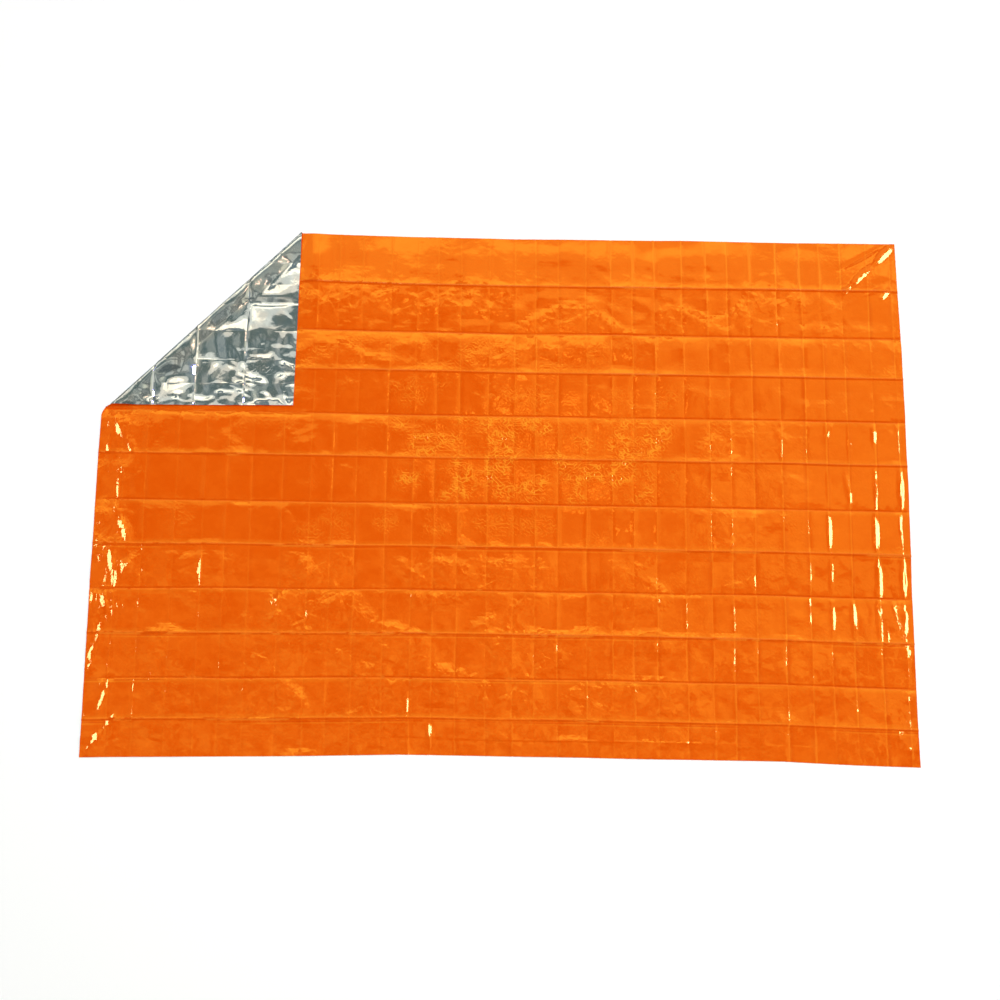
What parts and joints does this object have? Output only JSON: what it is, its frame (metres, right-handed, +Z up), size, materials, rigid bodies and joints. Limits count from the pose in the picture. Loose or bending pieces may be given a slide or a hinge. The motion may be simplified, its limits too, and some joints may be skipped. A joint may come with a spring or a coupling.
{
  "type": "emergency foil blanket",
  "caption": "Creased metallised film blanket laid flat, orange face up, with a corner turned over to show its silver face.",
  "frame": {"origin": "on the surface that the blanket lies on, below the middle of its box", "axes": "+X along the long sides, +Y from the near long side to the far one, +Z up; the turned corner is at -X, +Y"},
  "size_m": [2.1379, 1.421, 0.0163],
  "materials": {
    "foil_film": "glossy metallised film, orange on the upper face and mirror-bright silver on the under face"
  },
  "bodies": {
    "root": {"blanket": "foil_film"}
  },
  "joints": []
}
